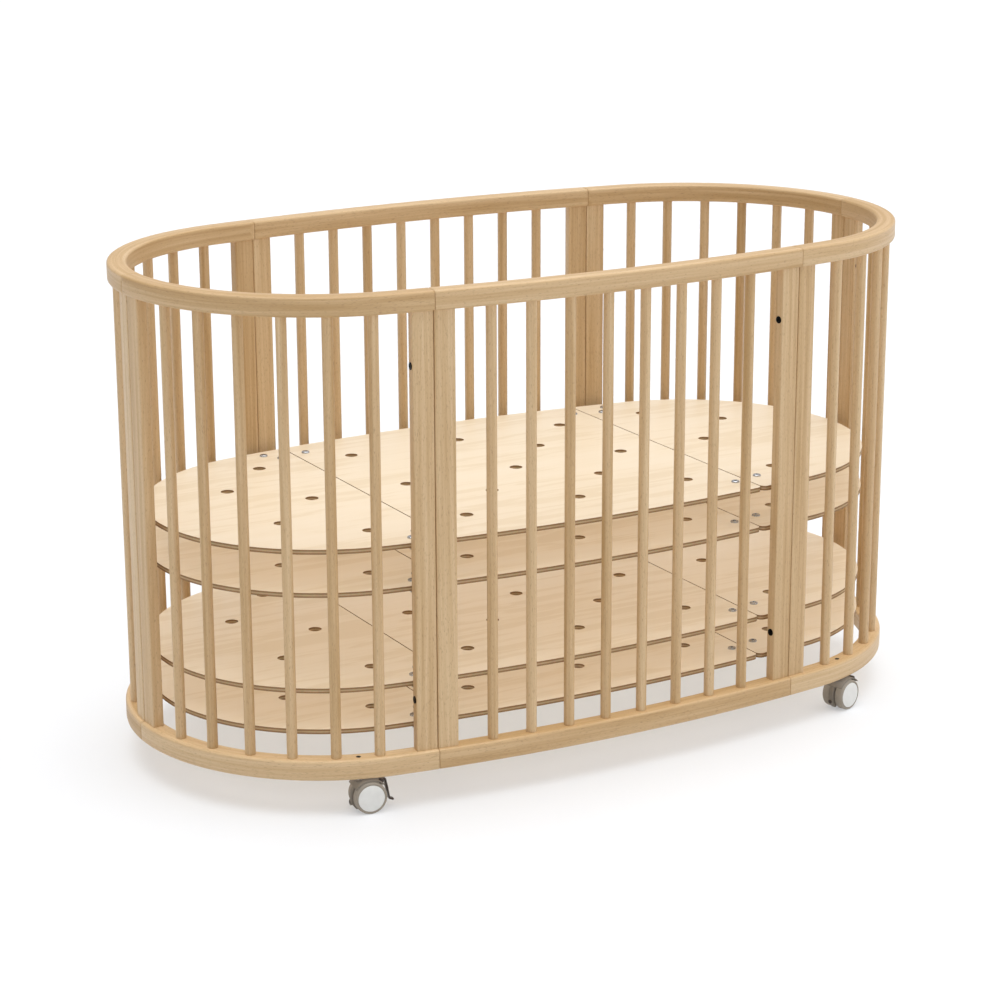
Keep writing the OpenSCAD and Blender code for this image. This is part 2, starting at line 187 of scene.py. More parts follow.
def cutAway(piece, tool):
    applyModifier(piece, "BOOLEAN", {"operation": "DIFFERENCE", "solver": "EXACT", "object": tool})
    bpy.data.objects.remove(tool)


def cylinder(name, sides, radius, low, high, rounding=0, steps=2):
    # a turned blank with its top edge rounded
    deselectAll()
    bpy.ops.mesh.primitive_cylinder_add(vertices=sides, radius=radius, depth=high - low,
                                        location=(0, 0, (low + high) / 2))
    piece = made(name, (1, 1, 1))
    if rounding:
        pick(piece, "EDGE", lambda a, b: min(a.z, b.z) > high - 0.00001)
        bpy.ops.mesh.bevel(offset=rounding, segments=steps, affect="EDGES")
        leave()
    return piece


def moveTo(piece, spot, heading):
    piece.data.transform(Matrix.Translation(spot) @ Matrix.Rotation(heading, 4, "Z"))


def copyOf(piece, name):
    twin = piece.copy()
    twin.data = piece.data.copy()
    twin.name = twin.data.name = name
    bpy.context.collection.objects.link(twin)
    return twin


def mirror(piece, xSide, ySide):
    # from the front right quarter to another one; an uneven mirror turns the faces inside out
    piece.data.transform(Matrix.Diagonal((xSide, -ySide, 1, 1)))
    if xSide * -ySide < 0:
        piece.data.flip_normals()


def joined(pieces, name):
    selectOnly(pieces[0])
    for piece in pieces:
        piece.select_set(True)
    bpy.ops.object.join()
    pieces[0].name = pieces[0].data.name = name
    return pieces[0]


def smooth(piece, degrees):
    selectOnly(piece)
    bpy.ops.object.shade_smooth_by_angle(angle=math.radians(degrees))


def install(piece, body, node):
    # rides on its body in place of the solid that it stands for
    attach(piece, body)
    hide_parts(node)


def coat(piece, *materials):
    piece.data.materials.clear()
    for material in materials:
        piece.data.materials.append(material)


def storeGrain(piece, mapped):
    # where each point lies in a straight plank: x along the grain, y and z across it,
    # shifted by chance so that no two pieces are cut from the same spot
    grain = piece.data.attributes.new("grain", "FLOAT_VECTOR", "POINT")
    offset = Vector((chance.uniform(-3, 3), chance.uniform(-0.06, 0.06), chance.uniform(-0.06, 0.06)))
    for vertex in piece.data.vertices:
        grain.data[vertex.index].vector = Vector(mapped(vertex.co)) + offset


def linear(code):
    parts = [int(code[i:i + 2], 16) / 255 for i in (1, 3, 5)]
    return tuple(c / 12.92 if c <= 0.04045 else ((c + 0.055) / 1.055) ** 2.4 for c in parts) + (1,)


def addNode(tree, kind, settings=None, links=None):
    node = tree.nodes.new(kind)
    for key, value in (settings or {}).items():
        setattr(node, key, value)
    for key, value in (links or {}).items():
        if isinstance(value, bpy.types.NodeSocket):
            tree.links.new(value, node.inputs[key])
        else:
            node.inputs[key].default_value = value
    return node


def newMaterial(name):
    material = bpy.data.materials.new(name)
    material.use_nodes = True
    tree = material.node_tree
    return material, tree, tree.nodes["Principled BSDF"]


def setRamp(ramp, stops):
    elements = ramp.color_ramp.elements
    while len(elements) < len(stops):
        elements.new(0.5)
    for element, (position, colour) in zip(elements, stops):
        element.position = position
        element.color = colour


beech = {
    "pale": "#D2B68E",
    "middle": "#C6A67B",
    "deep": "#B3905F",
    "fleck": "#86653F",
    "ringSpacing": 0.0045,  # growth rings, drawn a little coarser than the real 2 to 4 mm
    "wanderScale": 22,  # rings stray from their lines over about 45 mm
    "ringShade": 0.2,
    "streakWidth": 0.007,
    "boardScale": 14,  # broad change of tone over about 70 mm, a board's width
    "fleckWidth": 0.0011,  # rays are 0.5 mm wide, too fine to show
    "fleckShade": 0.4,
    "roughness": 0.46,
    "unevenGloss": 0.07,
}


def beechMaterial():
    # lacquered beech: soft streaks along the grain, faint rings and short brown rays
    material, tree, shader = newMaterial("beechSatinLacquer")
    grain = addNode(tree, "ShaderNodeAttribute", {"attribute_name": "grain"}).outputs["Vector"]
    tilted = addNode(tree, "ShaderNodeMapping", links={"Vector": grain, "Rotation": (0, 0.02, 0.035)})
    warp = addNode(tree, "ShaderNodeMapping", links={"Vector": grain, "Scale": (0.1, 1, 1)})
    wander = addNode(tree, "ShaderNodeTexNoise",
                     links={"Vector": warp.outputs[0], "Scale": beech["wanderScale"], "Detail": 2})
    pushed = addNode(tree, "ShaderNodeVectorMath", {"operation": "SCALE"},
                     {0: wander.outputs["Color"], "Scale": 0.02})
    bent = addNode(tree, "ShaderNodeVectorMath", {"operation": "ADD"},
                   {0: tilted.outputs[0], 1: pushed.outputs[0]})
    # a wave of scale 1 repeats every 0.314 m
    rings = addNode(tree, "ShaderNodeTexWave",
                    {"wave_type": "RINGS", "rings_direction": "X", "wave_profile": "SAW"},
                    {"Vector": bent.outputs[0], "Scale": 0.314 / beech["ringSpacing"],
                     "Distortion": 1.5, "Detail": 2, "Detail Scale": 0.6})
    long = addNode(tree, "ShaderNodeMapping", links={"Vector": grain, "Scale": (0.02, 1, 1)})
    streaks = addNode(tree, "ShaderNodeTexNoise",
                      links={"Vector": long.outputs[0], "Scale": 1 / beech["streakWidth"], "Detail": 4,
                             "Roughness": 0.6})
    plank = addNode(tree, "ShaderNodeTexNoise",
                    links={"Vector": long.outputs[0], "Scale": beech["boardScale"], "Detail": 1})
    short = addNode(tree, "ShaderNodeMapping", links={"Vector": grain, "Scale": (0.16, 1, 1)})
    rays = addNode(tree, "ShaderNodeTexNoise",
                   links={"Vector": short.outputs[0], "Scale": 1 / beech["fleckWidth"], "Detail": 1})
    tone = addNode(tree, "ShaderNodeMath", {"operation": "MULTIPLY_ADD"},
                   {0: plank.outputs["Fac"], 1: 0.8, 2: -0.4})
    mixTone = addNode(tree, "ShaderNodeMath", {"operation": "ADD"},
                      {0: streaks.outputs["Fac"], 1: tone.outputs[0]})
    base = addNode(tree, "ShaderNodeValToRGB", links={"Fac": mixTone.outputs[0]})
    setRamp(base, [(0.25, linear(beech["deep"])), (0.5, linear(beech["middle"])),
                   (0.75, linear(beech["pale"]))])
    ringShade = addNode(tree, "ShaderNodeMapRange",
                        links={"Value": rings.outputs["Fac"], "From Min": 0.55, "From Max": 1.0,
                               "To Min": 0.0, "To Max": beech["ringShade"]})
    ringed = addNode(tree, "ShaderNodeMix", {"data_type": "RGBA"},
                     {0: ringShade.outputs[0], 6: base.outputs[0], 7: linear(beech["deep"])})
    fleckShade = addNode(tree, "ShaderNodeMapRange",
                         links={"Value": rays.outputs["Fac"], "From Min": 0.6, "From Max": 0.72,
                                "To Min": 0.0, "To Max": beech["fleckShade"]})
    flecked = addNode(tree, "ShaderNodeMix", {"data_type": "RGBA"},
                      {0: fleckShade.outputs[0], 6: ringed.outputs[2], 7: linear(beech["fleck"])})
    tree.links.new(flecked.outputs[2], shader.inputs["Base Color"])
    worn = addNode(tree, "ShaderNodeMapRange",
                   links={"Value": streaks.outputs["Fac"],
                          "To Min": beech["roughness"] + beech["unevenGloss"],
                          "To Max": beech["roughness"] - beech["unevenGloss"]})
    tree.links.new(worn.outputs[0], shader.inputs["Roughness"])
    relief = addNode(tree, "ShaderNodeBump",
                     links={"Height": rays.outputs["Fac"], "Strength": 0.12, "Distance": 0.0002})
    tree.links.new(relief.outputs[0], shader.inputs["Normal"])
    return material


ply = {
    "pale": "#E0D0B8",
    "middle": "#DECDB3",
    "deep": "#D8C5A8",
    "endPly": "#A4825A",
    "longPly": "#D0B48C",
    "glue": "#7C5F3C",
    "plies": 3,
    "figureWidth": 0.022,  # rotary-cut veneer has broad soft figure
    "poreScale": 420,  # pores 2.4 mm apart, drawn coarser than the real 0.1 mm ones
    "sawScale": 300,  # mottle of about 3 mm that the saw leaves on an edge
    "roughness": 0.42,
    "edgeRoughness": 0.75,
}


def plyMaterial(name, box, seed):
    # lacquered birch ply: broad soft figure on the faces, striped plies on every edge
    material, tree, shader = newMaterial(name)
    spot = addNode(tree, "ShaderNodeTexCoord").outputs["Object"]
    moved = addNode(tree, "ShaderNodeMapping",
                    links={"Vector": spot, "Location": (seed * 1.7, seed * 0.9, seed * 0.4),
                           "Scale": (0.11, 1, 1)})
    figure = addNode(tree, "ShaderNodeTexNoise",
                     links={"Vector": moved.outputs[0], "Scale": 1 / ply["figureWidth"], "Detail": 4,
                            "Roughness": 0.55, "Distortion": 0.6})
    fine = addNode(tree, "ShaderNodeMapping", links={"Vector": spot, "Scale": (0.03, 1, 1)})
    pores = addNode(tree, "ShaderNodeTexNoise",
                    links={"Vector": fine.outputs[0], "Scale": ply["poreScale"], "Detail": 2})
    broad = addNode(tree, "ShaderNodeTexNoise",
                    links={"Vector": moved.outputs[0], "Scale": 9, "Detail": 1})
    broadTone = addNode(tree, "ShaderNodeMath", {"operation": "MULTIPLY_ADD"},
                        {0: broad.outputs["Fac"], 1: 0.6, 2: figure.outputs["Fac"]})
    tone = addNode(tree, "ShaderNodeMath", {"operation": "MULTIPLY_ADD"},
                   {0: pores.outputs["Fac"], 1: 0.2, 2: broadTone.outputs[0]})
    face = addNode(tree, "ShaderNodeValToRGB", links={"Fac": tone.outputs[0]})
    setRamp(face, [(0.68, linear(ply["pale"])), (0.92, linear(ply["middle"])),
                   (1.0, linear(ply["deep"]))])
    # the plies are counted up from the underside of the section
    height = addNode(tree, "ShaderNodeSeparateXYZ", links={"Vector": spot}).outputs["Z"]
    layer = addNode(tree, "ShaderNodeMapRange", {"clamp": False},
                    {"Value": height, "From Min": box[0][2], "From Max": box[1][2], "To Min": 0,
                     "To Max": ply["plies"]})
    parity = addNode(tree, "ShaderNodeMath", {"operation": "PINGPONG"}, {0: layer.outputs[0], 1: 1.0})
    whole = addNode(tree, "ShaderNodeMath", {"operation": "FLOOR"}, {0: layer.outputs[0]})
    odd = addNode(tree, "ShaderNodeMath", {"operation": "MODULO"}, {0: whole.outputs[0], 1: 2.0})
    plies = addNode(tree, "ShaderNodeMix", {"data_type": "RGBA"},
                    {0: odd.outputs[0], 6: linear(ply["endPly"]), 7: linear(ply["longPly"])})
    glued = addNode(tree, "ShaderNodeMapRange",
                    links={"Value": parity.outputs[0], "From Min": 0.0, "From Max": 0.16,
                           "To Min": 0.7, "To Max": 0.0})
    glueLine = addNode(tree, "ShaderNodeMix", {"data_type": "RGBA"},
                       {0: glued.outputs[0], 6: plies.outputs[2], 7: linear(ply["glue"])})
    sawn = addNode(tree, "ShaderNodeTexNoise",
                   links={"Vector": spot, "Scale": ply["sawScale"], "Detail": 2})
    mottled = addNode(tree, "ShaderNodeMix", {"data_type": "RGBA", "blend_type": "MULTIPLY"},
                      {0: 0.3, 6: glueLine.outputs[2], 7: sawn.outputs["Color"]})
    normal = addNode(tree, "ShaderNodeNewGeometry").outputs["True Normal"]
    upright = addNode(tree, "ShaderNodeSeparateXYZ", links={"Vector": normal})
    level = addNode(tree, "ShaderNodeMath", {"operation": "ABSOLUTE"}, {0: upright.outputs["Z"]})
    isFace = addNode(tree, "ShaderNodeMath", {"operation": "GREATER_THAN"},
                     {0: level.outputs[0], 1: 0.6})
    colour = addNode(tree, "ShaderNodeMix", {"data_type": "RGBA"},
                     {0: isFace.outputs[0], 6: mottled.outputs[2], 7: face.outputs[0]})
    tree.links.new(colour.outputs[2], shader.inputs["Base Color"])
    matt = addNode(tree, "ShaderNodeMapRange",
                   links={"Value": isFace.outputs[0], "To Min": ply["edgeRoughness"],
                          "To Max": ply["roughness"]})
    tree.links.new(matt.outputs[0], shader.inputs["Roughness"])
    relief = addNode(tree, "ShaderNodeBump",
                     links={"Height": pores.outputs["Fac"], "Strength": 0.08, "Distance": 0.0002})
    tree.links.new(relief.outputs[0], shader.inputs["Normal"])
    return material


finish = {
    "platingScale": 900,  # patches of 1.1 mm in the plating, drawn coarser than the real 0.2 mm
    "flowScale": 90,  # marks of about 11 mm where the plastic ran into its mould
}


def metalMaterial(name, code, roughness):
    # plated steel: fine uneven plating that breaks up the reflections
    material, tree, shader = newMaterial(name)
    spot = addNode(tree, "ShaderNodeTexCoord").outputs["Object"]
    mottle = addNode(tree, "ShaderNodeTexNoise",
                     links={"Vector": spot, "Scale": finish["platingScale"], "Detail": 3})
    shade = addNode(tree, "ShaderNodeMapRange",
                    links={"Value": mottle.outputs["Fac"], "To Min": 0.86, "To Max": 1.0})
    tint = addNode(tree, "ShaderNodeMix", {"data_type": "RGBA", "blend_type": "MULTIPLY"},
                   {0: 1.0, 6: linear(code), 7: shade.outputs[0]})
    tree.links.new(tint.outputs[2], shader.inputs["Base Color"])
    rough = addNode(tree, "ShaderNodeMapRange",
                    links={"Value": mottle.outputs["Fac"], "To Min": roughness - 0.06,
                           "To Max": roughness + 0.1})
    tree.links.new(rough.outputs[0], shader.inputs["Roughness"])
    shader.inputs["Metallic"].default_value = 1.0
    return material


def plasticMaterial(name, code, roughness, grit, strength):
    # moulded plastic: slight spark-eroded texture and faint flow marks
    material, tree, shader = newMaterial(name)
    spot = addNode(tree, "ShaderNodeTexCoord").outputs["Object"]
    flow = addNode(tree, "ShaderNodeTexNoise",
                   links={"Vector": spot, "Scale": finish["flowScale"], "Detail": 3})
    shade = addNode(tree, "ShaderNodeMapRange",
                    links={"Value": flow.outputs["Fac"], "To Min": 0.9, "To Max": 1.05})
    tint = addNode(tree, "ShaderNodeMix", {"data_type": "RGBA", "blend_type": "MULTIPLY"},
                   {0: 1.0, 6: linear(code), 7: shade.outputs[0]})
    tree.links.new(tint.outputs[2], shader.inputs["Base Color"])
    texture = addNode(tree, "ShaderNodeTexNoise",
                      links={"Vector": spot, "Scale": 1 / grit, "Detail": 2})
    relief = addNode(tree, "ShaderNodeBump",
                     links={"Height": texture.outputs["Fac"], "Strength": strength, "Distance": 0.0001})
    tree.links.new(relief.outputs[0], shader.inputs["Normal"])
    shader.inputs["Roughness"].default_value = roughness
    shader.inputs["IOR"].default_value = 1.5
    return material


beechWood = beechMaterial()
zinc = metalMaterial("zincPlatedSteel", "#C6CAD0", 0.24)  # bright, slightly blue, sharp highlights
blackSteel = metalMaterial("blackOxideSteel", "#0D0D0E", 0.42)  # near black, lit only at its edges
# roughness, grit in metres (drawn coarser than the real 0.05 mm) and relief of each plastic
housingPlastic = plasticMaterial("housingMouldedNylon", "#776E62", 0.5, 0.0009, 0.25)  # warm grey, dull
treadPlastic = plasticMaterial("treadMouldedPolyurethane", "#948A7C", 0.55, 0.0008, 0.3)  # paler, duller
capPlastic = plasticMaterial("capMouldedAbs", "#DFDEDA", 0.35, 0.0006, 0.1)  # off-white, satin
brakePlastic = plasticMaterial("brakeMouldedAcetal", "#3A2C23", 0.28, 0.0006, 0.08)  # dark, slick
print("materials made")


# a rounded outline is swept along each panel, and its two ends are eased
rail = {
    "rounding": 0.0045,
    "roundSteps": 4,
    "easing": 0.0011,
    "sideSteps": 56,
    "endSteps": 64,
    "tailSteps": 8,
}


def railOutline(start, heading, low, height):
    # an upright rounded loop across the panel, left selected in edit mode
    deselectAll()
    bpy.ops.mesh.primitive_plane_add(size=1, location=(start.x, start.y, low + height / 2),
                                     rotation=(math.pi / 2, 0, heading + math.pi / 2))
    piece = made("railOutline", (crib["railWidth"], height, 1))
    pick(piece, "VERT", lambda co: True)
    bpy.ops.mesh.bevel(offset=rail["rounding"], segments=rail["roundSteps"], affect="VERTICES")
    bpy.ops.mesh.delete(type="ONLY_FACE")
    bpy.ops.mesh.select_all(action="SELECT")
    return piece


def sweep(steps, angle, centre):
    # a turn to the right counts as positive
    bpy.ops.mesh.spin(steps=steps, angle=-angle, center=(*centre, 0), axis=(0, 0, 1))


def closeRail(piece):
    # fills the two open ends and eases their edges
    bpy.ops.mesh.select_all(action="DESELECT")
    bpy.ops.mesh.select_non_manifold()
    bpy.ops.mesh.fill_holes(sides=0)
    leave()
    recalculate(piece)
    pick(piece, "FACE", lambda face: len(face.vertices) > 4)
    bpy.ops.mesh.region_to_loop()
    bpy.ops.mesh.bevel(offset=rail["easing"], segments=2, affect="EDGES")
    leave()


def sideRail(low, height):
    gapTurn = crib["gap"] / sideLine
    start, heading = onSide(-jointAngle + gapTurn)
    piece = railOutline(start, heading, low, height)
    sweep(rail["sideSteps"], 2 * (jointAngle - gapTurn), (0, sideCentre))
    closeRail(piece)
    return piece


def cornerRail(low, height):
    gapTurn = crib["gap"] / endLine
    tailTurn = crib["sideTurn"] - jointAngle - crib["gap"] / sideLine
    start, heading = onCorner(crib["gap"])
    piece = railOutline(start, heading, low, height)
    sweep(rail["endSteps"], -(math.pi / 2 - crib["sideTurn"] - gapTurn), (endCentre, 0))
    sweep(rail["tailSteps"], -tailTurn, (0, sideCentre))
    closeRail(piece)
    return piece


def railGrain(co):
    along, depth = alongRail(co)
    return along, depth, co.z


for level, (low, height) in (("top_rail", crib["topRail"]), ("bottom_rail", crib["bottomRail"])):
    side, corner = sideRail(low, height), cornerRail(low, height)
    rails = {"back": copyOf(side, "rail")}
    mirror(rails["back"], 1, 1)
    for name, (xSide, ySide) in corners.items():
        if name != "front_right":
            rails[name] = copyOf(corner, "rail")
            mirror(rails[name], xSide, ySide)
    rails["front"], rails["front_right"] = side, corner
    for name, piece in rails.items():
        piece.name = piece.data.name = f"{name}_{level}_beech"
        storeGrain(piece, railGrain)
        coat(piece, beechWood)
        smooth(piece, 32)
        install(piece, "crib", f"{name}_{level}")
print("rails made")


# a post and a spindle are made once and copied to their places
post = {
    "width": 0.0343,  # leaves a dark gap of a little over 1 mm in each joint
    "thickness": 0.018,
    "rounding": 0.0018,
    "steps": 3,
    "pitch": 0.035,
}
spindle = {
    "radius": 0.0085,
    "shoulder": 0.0004,  # eased edge where a spindle enters its rail
    "sides": 28,
    "tenon": 0.0118,  # length hidden in a rail
    "sidePitch": 0.068,
    "cornerStart": 0.0983,
    "cornerPitch": 0.0691,
}
floorZ = sum(crib["bottomRail"])
ceilingZ = crib["topRail"][0]


def makePost():
    deselectAll()
    bpy.ops.mesh.primitive_cube_add(size=1, location=(0, 0, (floorZ + ceilingZ) / 2))
    piece = made("post", (post["width"], post["thickness"], ceilingZ - floorZ))
    pick(piece, "EDGE", lambda a, b: abs(a.z - b.z) > 0.1)  # the four upright edges
    bpy.ops.mesh.bevel(offset=post["rounding"], segments=post["steps"], affect="EDGES")
    leave()
    return piece


def makeSpindle():
    # a round bar between the rails with a tenon at each end
    blank = cylinder("spindle", spindle["sides"], spindle["radius"], floorZ, ceilingZ)
    pick(blank, "FACE", lambda face: abs(face.normal.z) > 0.9)
    bpy.ops.mesh.inset(thickness=spindle["shoulder"])
    bpy.ops.mesh.extrude_region_shrink_fatten(TRANSFORM_OT_shrink_fatten={"value": spindle["tenon"]})
    leave()
    rim = spindle["radius"] - spindle["shoulder"] / 4
    pick(blank, "EDGE", lambda a, b: abs(a.z - b.z) < 0.001 and math.hypot(a.x, a.y) > rim
         and min(abs(a.z - floorZ), abs(a.z - ceilingZ)) < 0.0001)
    bpy.ops.mesh.bevel(offset=spindle["shoulder"] * 0.8, segments=1, affect="EDGES")
    leave()
    return blank


def standRow(model, spots, xSide, ySide, node):
    # copies of a post or spindle at their spots on one panel, joined to one piece
    row = []
    for spot, heading in spots:
        piece = copyOf(model, "upright")
        storeGrain(piece, lambda co: (co.z, co.x, co.y))
        moveTo(piece, spot, heading)
        mirror(piece, xSide, ySide)
        row.append(piece)
    piece = joined(row, f"{node}_beech")
    coat(piece, beechWood)
    smooth(piece, 40)
    install(piece, "crib", node)


postModel, spindleModel = makePost(), makeSpindle()
postStep = crib["gap"] + post["pitch"] / 2
endPostStep = endLine * math.atan2(postStep, endLine - post["thickness"] / 2)
sideAngle = jointAngle - postStep / sideLine
sidePosts = [onSide(-sideAngle), onSide(sideAngle)]
cornerPosts = [onCorner(endPostStep), onCorner(cornerLength - postStep)]
sideSpindles = [onSide((k - 3.5) * spindle["sidePitch"] / sideLine) for k in range(8)]
cornerSpindles = [onCorner(spindle["cornerStart"] + k * spindle["cornerPitch"]) for k in range(6)]

# each caster hangs halfway between the last two spindles of a corner panel
casterAngle = (spindle["cornerStart"] + 4.5 * spindle["cornerPitch"]) / endLine
casterSpots = {}
for name, (xSide, ySide) in corners.items():
    casterSpots[name] = onEnd(casterAngle, ySide) * Vector((xSide, 1, 1))

for name, ySide in (("front", -1), ("back", 1)):
    standRow(postModel, sidePosts, 1, ySide, f"{name}_posts")
    standRow(spindleModel, sideSpindles, 1, ySide, f"{name}_spindles")
for name, (xSide, ySide) in corners.items():
    standRow(postModel, cornerPosts, xSide, ySide, f"{name}_posts")
    standRow(spindleModel, cornerSpindles, xSide, ySide, f"{name}_spindles")
bpy.data.objects.remove(postModel)
bpy.data.objects.remove(spindleModel)
print("posts and spindles made")


# the bases keep their solids and get a ply material each
for level in range(1, 5):
    for order, part in enumerate(("middle", "right", "left")):
        node = f"base_{level}_{part}"
        section = plyMaterial(f"birchPlyLacquered_{level}_{part}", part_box(node), level * 3 + order)
        coat(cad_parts[node], section)
for node in ["base_brackets", "caster_stems"] + [f"{name}_axle" for name in corners]:
    coat(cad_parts[node], zinc)
print("bases coated")


# base screws and joint bolts, each with its hidden end
screw = {
    "head": 0.007,
    "height": 0.003,
    "dome": 0.0019,
    "socket": 0.0029,
    "socketFloor": 0.0011,
    "shank": 0.0025,
    "length": 0.013,
    "nut": (0.0045, 0.003, 0.0004),  # radius, height and easing
    "inset": 0.0528,  # from the middle of the rail to the screw beside a post
    "seamSpots": ((0.272, -0.265), (0.325, -0.251)),  # either side of the seam between sections
}
bolt = {
    "head": 0.006,
    "height": 0.0023,
    "proud": 0.0009,  # the head all but disappears into the face of its post
    "rounding": 0.0006,
    "socket": 0.0029,
    "socketDepth": 0.0008,
    "shank": 0.003,
    "blind": 0.023,
    "heights": (0.1755, 0.712),
    "stemEnd": (0.004, 0.0003, 0.0002),  # radius, height and easing of a caster stem's top
}
overlap = 0.0002  # a shank runs this far into its head


def cutHex(piece, radius, low, high):
    cutAway(piece, cylinder("hexTool", 6, radius, low, high))


def makeScrew():
    head = cylinder("head", 20, screw["head"], 0, screw["height"], screw["dome"], 3)
    cutHex(head, screw["socket"], screw["socketFloor"], screw["head"])
    shank = cylinder("shank", 10, screw["shank"], -screw["length"], overlap)
    radius, height, easing = screw["nut"]
    nut = cylinder("nut", 6, radius, -screw["length"], height - screw["length"], easing, 1)
    return joined([head, shank, nut], "screw")


def makeBolt():
    # laid along x with its joint at the origin
    face = post["pitch"] + crib["gap"] + bolt["proud"]
    underHead = face - bolt["height"]
    head = cylinder("head", 28, bolt["head"], underHead, face, bolt["rounding"], 3)
    cutHex(head, bolt["socket"], face - bolt["socketDepth"], face + bolt["head"])
    shank = cylinder("shank", 12, bolt["shank"], -bolt["blind"], underHead + overlap)
    piece = joined([head, shank], "bolt")
    piece.data.transform(Matrix.Rotation(-math.pi / 2, 4, "Y"))
    return piece


screwModel = makeScrew()
postSpot, heading = onCorner(cornerLength - postStep)
inwards = Vector((-math.sin(heading), math.cos(heading), 0))
spots = [postSpot + inwards * screw["inset"]] + [Vector((x, y, 0)) for x, y in screw["seamSpots"]]
screws = []
for level in range(1, 5):
    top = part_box(f"base_{level}_middle")[1][2]
    for xSide, ySide in corners.values():
        for spot in spots:
            piece = copyOf(screwModel, "screw")
            moveTo(piece, Vector((spot.x * xSide, -spot.y * ySide, top)), chance.uniform(0, 6))
            screws.append(piece)
allScrews = joined(screws, "base_screws_zinc")
coat(allScrews, zinc)
smooth(allScrews, 35)
install(allScrews, "crib", "base_screws")
bpy.data.objects.remove(screwModel)

boltModel = makeBolt()
bolts = []
for z in bolt["heights"]:
    for turn in (0, math.pi):
        for spot, heading in (onSide(-jointAngle), onSide(jointAngle), onCorner(0)):
            piece = copyOf(boltModel, "bolt")
            moveTo(piece, spot + Vector((0, 0, z)), heading)
            piece.data.transform(Matrix.Rotation(turn, 4, "Z"))
            bolts.append(piece)
radius, height, easing = bolt["stemEnd"]
for spot in casterSpots.values():
    stemEnd = cylinder("stemEnd", 24, radius, floorZ - 0.002, floorZ + height, easing, 1)
    moveTo(stemEnd, spot, 0)
    bolts.append(stemEnd)
allBolts = joined(bolts, "post_bolts_black")
coat(allBolts, blackSteel)
smooth(allBolts, 35)
install(allBolts, "crib", "post_bolts")
bpy.data.objects.remove(boltModel)
print("screws and bolts made")


# a caster is modelled with its stem on the z axis and its axle trailing along x
caster = {
    "trail": 0.014,
    "axle": 0.0265,
    "web": 0.0094,
    "hoodRadius": 0.0293,
    "hoodWidth": 0.040,
    "hoodThickness": 0.0019,
    "hoodFrom": math.radians(40),
    "hoodTurn": math.radians(105),
    "turns": {"front_left": -8.5, "front_right": 17.6, "back_left": 38, "back_right": -24},  # degrees
}
axlePoint = Vector((caster["trail"], 0, caster["axle"]))
wheel = {
    "start": 0.0062,  # gap between the web's middle and a wheel
    "width": 0.0143,
    "outerEdge": (0.0032, 5),  # rounding and its steps
    "innerEdge": (0.0012, 2),
    "hollow": ((0.0022, 0), (0.0005, -0.004), (0.0135, 0), (0.0004, 0.004)),  # insets with their depths
    "groove": ((0.0006, 0), (0.0003, -0.0008), (0.0003, 0)),
    "cap": ((0.0004, 0.0008), (0.0007, 0.00025), (0.009, 0.0003), (0.008, 0.00012)),
}


def makeWheel(side):
    # tread ring, groove and slightly crowned cap on the outer face, a hollow in the inner one
    inner, outer = wheel["start"], wheel["start"] + wheel["width"]
    piece = cylinder("wheel", 72, caster["axle"], inner, outer)
    coat(piece, treadPlastic, capPlastic)
    pick(piece, "EDGE", lambda a, b: min(a.z, b.z) > outer - 0.00001)
    bpy.ops.mesh.bevel(offset=wheel["outerEdge"][0], segments=wheel["outerEdge"][1], affect="EDGES")
    leave()
    pick(piece, "EDGE", lambda a, b: max(a.z, b.z) < inner + 0.00001)
    bpy.ops.mesh.bevel(offset=wheel["innerEdge"][0], segments=wheel["innerEdge"][1], affect="EDGES")
    leave()
    pick(piece, "FACE", lambda face: face.normal.z < -0.99)
    for thickness, depth in wheel["hollow"]:
        bpy.ops.mesh.inset(thickness=thickness, depth=depth)
    leave()
    pick(piece, "FACE", lambda face: face.normal.z > 0.99 and face.center.length < outer + 0.001)
    for thickness, depth in wheel["groove"]:
        bpy.ops.mesh.inset(thickness=thickness, depth=depth)
    piece.active_material_index = 1
    for thickness, depth in wheel["cap"]:
        bpy.ops.mesh.inset(thickness=thickness, depth=depth)
        bpy.ops.object.material_slot_assign()
    leave()
    piece.data.transform(Matrix.Translation(axlePoint) @ Matrix.Rotation(-math.pi / 2 * side, 4, "X"))
    return piece


def aboutAxle(piece, angle, slip=0):
    # turns a flat outline up about the axle, and slips it along x
    piece.data.transform(Matrix.Translation(axlePoint - Vector((slip, 0, 0)))
                         @ Matrix.Rotation(-angle, 4, "Y") @ Matrix.Translation(-axlePoint))


def makeWeb():
    # the slice between the wheels, swept about the axle
    radius = caster["hoodRadius"] - 0.0002
    deselectAll()
    bpy.ops.mesh.primitive_plane_add(size=1, location=axlePoint + Vector((radius / 2, 0, 0)))
    piece = made("web", (radius, caster["web"], 1))
    aboutAxle(piece, math.radians(30))
    pick(piece, "FACE", lambda face: True)
    bpy.ops.mesh.spin(steps=48, angle=math.radians(200), center=axlePoint, axis=(0, 1, 0))
    leave()
    recalculate(piece)
    roundEdges(piece, 0.0016, 3)
    return piece


def makeHood():
    # a line across the wheels, swept over them and given a wall
    rim = caster["trail"] + caster["hoodRadius"]
    deselectAll()
    bpy.ops.mesh.primitive_plane_add(size=1, location=(rim, 0, caster["axle"]))
    piece = made("hood", (0.001, caster["hoodWidth"] - 0.001, 1))
    pick(piece, "VERT", lambda co: co.x < rim)
    bpy.ops.mesh.delete(type="VERT")
    leave()
    aboutAxle(piece, caster["hoodFrom"], 0.0005)
    pick(piece, "VERT", lambda co: True)
    bpy.ops.mesh.spin(steps=36, angle=caster["hoodTurn"], center=axlePoint, axis=(0, 1, 0))
    leave()
    recalculate(piece)
    thicken(piece, caster["hoodThickness"])
    roundEdges(piece, 0.0006, 2)
    return piece


